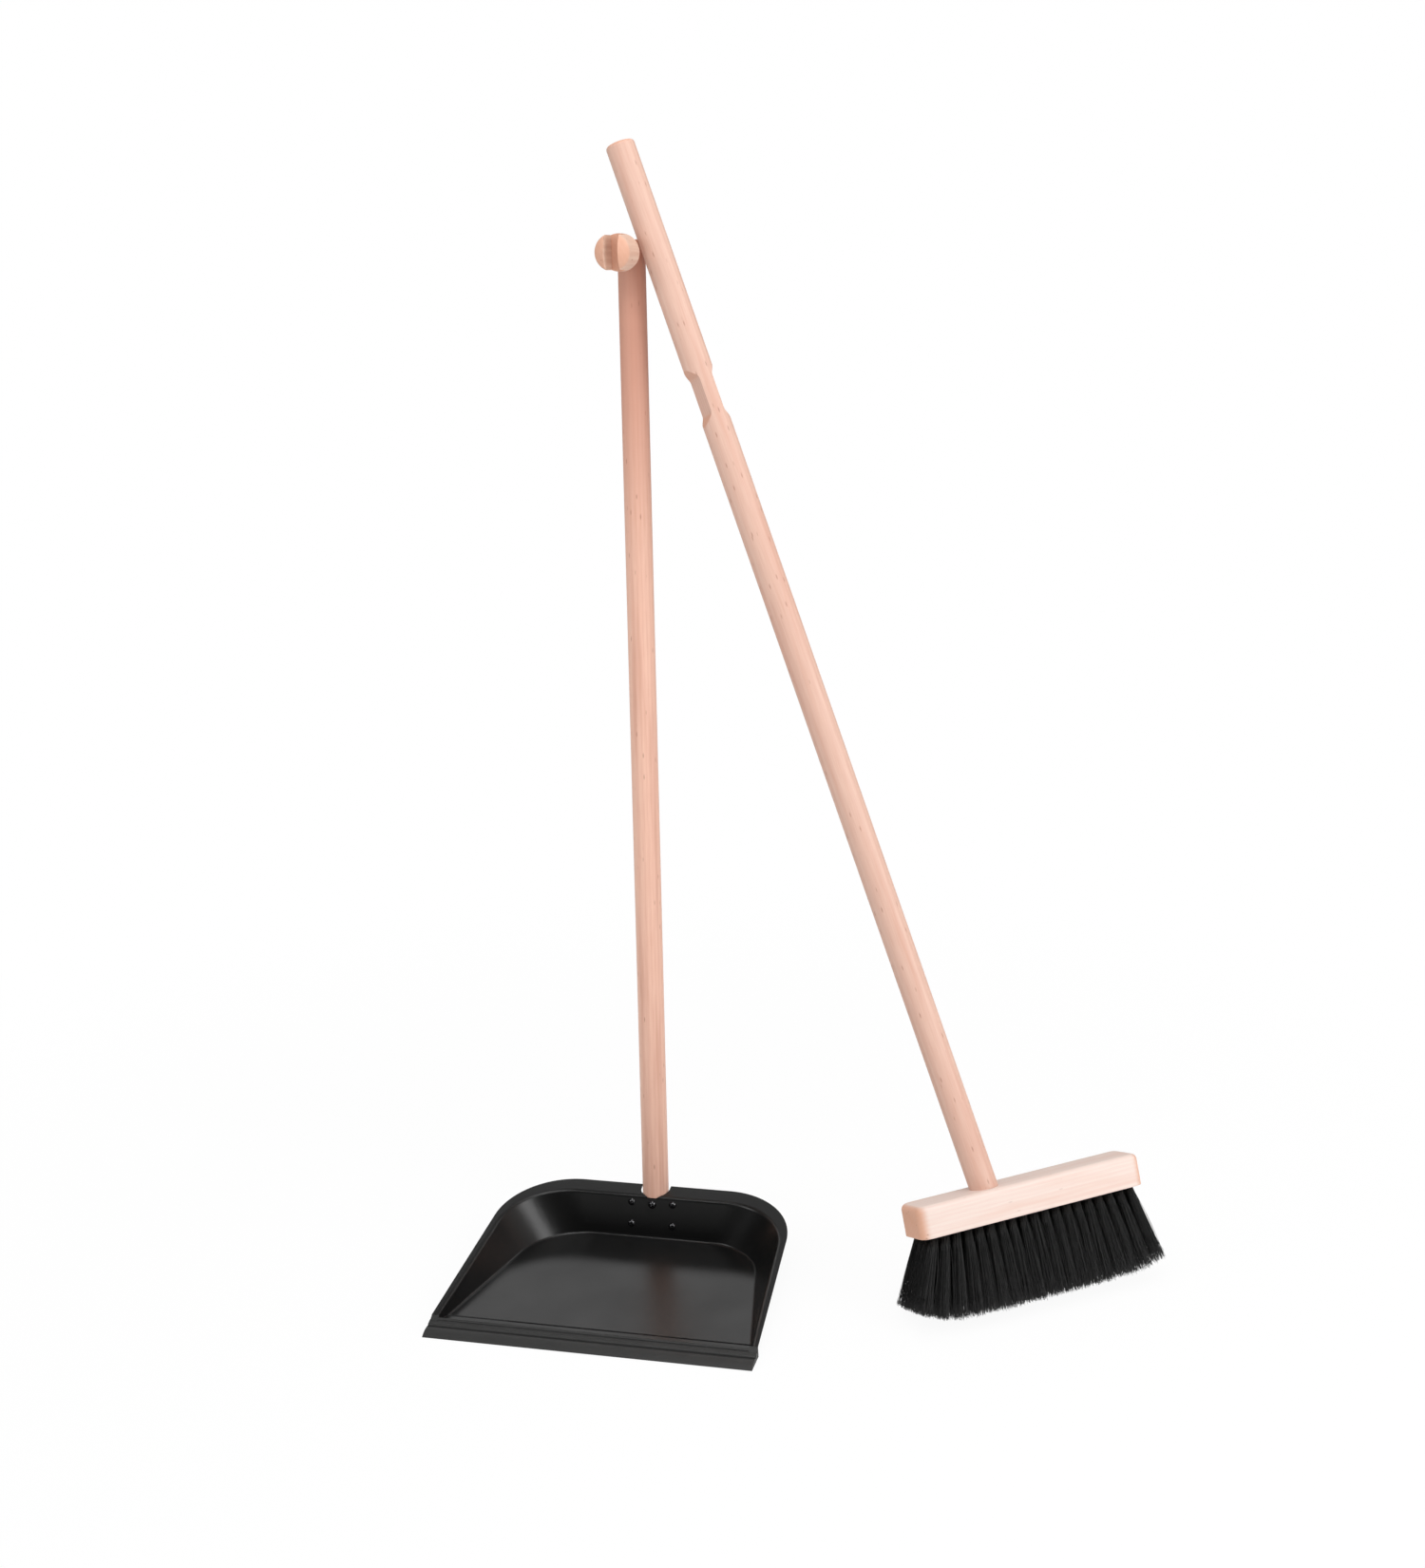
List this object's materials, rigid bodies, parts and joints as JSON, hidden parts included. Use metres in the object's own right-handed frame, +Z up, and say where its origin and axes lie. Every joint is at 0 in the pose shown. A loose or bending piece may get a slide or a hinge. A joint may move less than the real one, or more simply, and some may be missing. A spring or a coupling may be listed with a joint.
{
  "type": "dust pan and brush set",
  "caption": "Standing dust pan of pressed steel with a rubber lip and long beech stick with a slotted knob, and a long-handled broom leaning on it.",
  "frame": {"origin": "middle of the tray's flat underside: on its centre plane, halfway between the lip's edge and the back of the flange", "axes": "+Z up along the standing height, -Y towards the tray's open edge, +X to the side on which the broom stands"},
  "size_m": [0.5915, 0.3041, 0.9382],
  "materials": {
    "powder_coat": "satin black powder coat",
    "lip_rubber": "matte dark grey",
    "fastener_steel": "blackened steel",
    "beech": "oiled pinkish beech",
    "beech_light": "oiled pale beech",
    "bristle": "black fibre"
  },
  "bodies": {
    "pan": {"pan_tray": "powder_coat", "front_lip": "lip_rubber", "handle_socket": "powder_coat", "socket_rivets": "fastener_steel", "socket_screw": "fastener_steel", "pan_stick": "beech", "slotted_knob": "beech"},
    "broom": {"broom_stick": "beech_light", "brush_block": "beech_light", "bristle_row_1": "bristle", "bristle_row_2": "bristle", "bristle_row_3": "bristle", "bristle_row_4": "bristle"}
  },
  "joints": [
    {"name": "broom_lift_away", "type": "slide", "parent": "pan", "child": "broom", "axis": [0.7506, 0.637, 0.1757], "range_m": [0, 0.4]}
  ]
}
